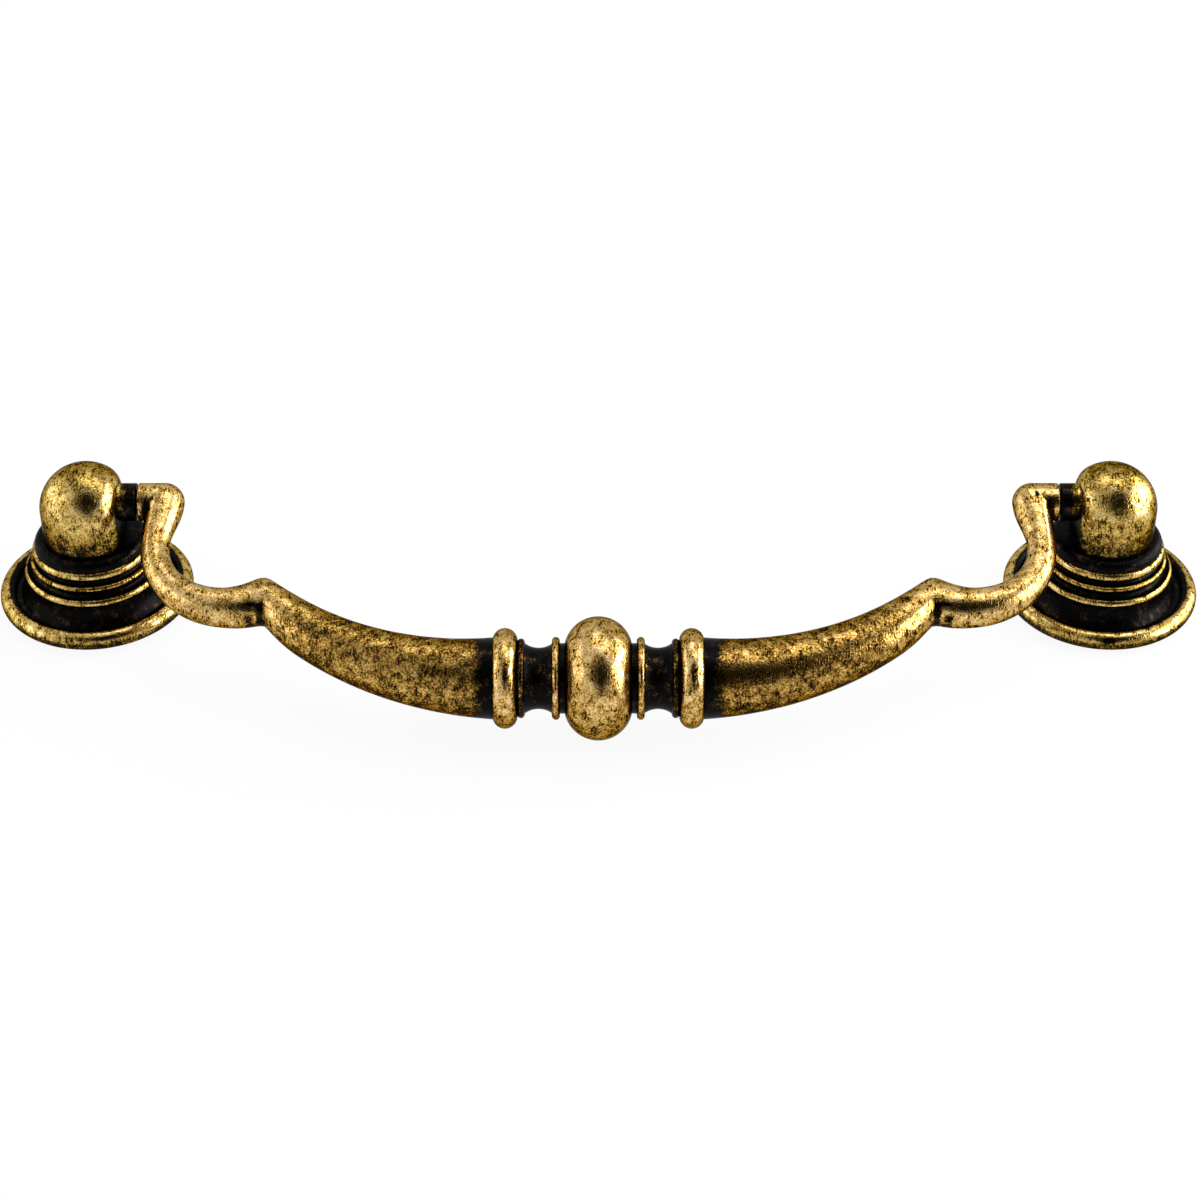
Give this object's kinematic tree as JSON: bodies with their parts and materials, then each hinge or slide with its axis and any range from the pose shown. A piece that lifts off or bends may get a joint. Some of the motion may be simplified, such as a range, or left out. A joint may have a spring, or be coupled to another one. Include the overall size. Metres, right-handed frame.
{
  "type": "drop pull",
  "caption": "Antique-brass bail pull: two turned posts with domed heads carry a swinging handle with S-shaped arms, horn-shaped grips and a turned bead at its centre.",
  "frame": {"origin": "on the mounting plane, midway between the two screw holes", "axes": "+X along the row of posts, +Z out of the mounting plane along the posts, -Y towards the hanging bail"},
  "size_m": [0.1524, 0.0456, 0.0195],
  "materials": {
    "post_metal": "antique brass: rubbed speckled brass on the crests, black patina in the recesses",
    "bail_metal": "antique brass: rubbed speckled brass on the swells, black patina in the coves and creases"
  },
  "bodies": {
    "posts": {"left_post": "post_metal", "right_post": "post_metal"},
    "bail": {"bail": "bail_metal"}
  },
  "joints": [
    {"name": "bail_swing", "type": "hinge", "parent": "posts", "child": "bail", "pos_m": [0, 0, 0.0145], "axis": [-1, 0, 0], "range_deg": [0, 210]}
  ]
}
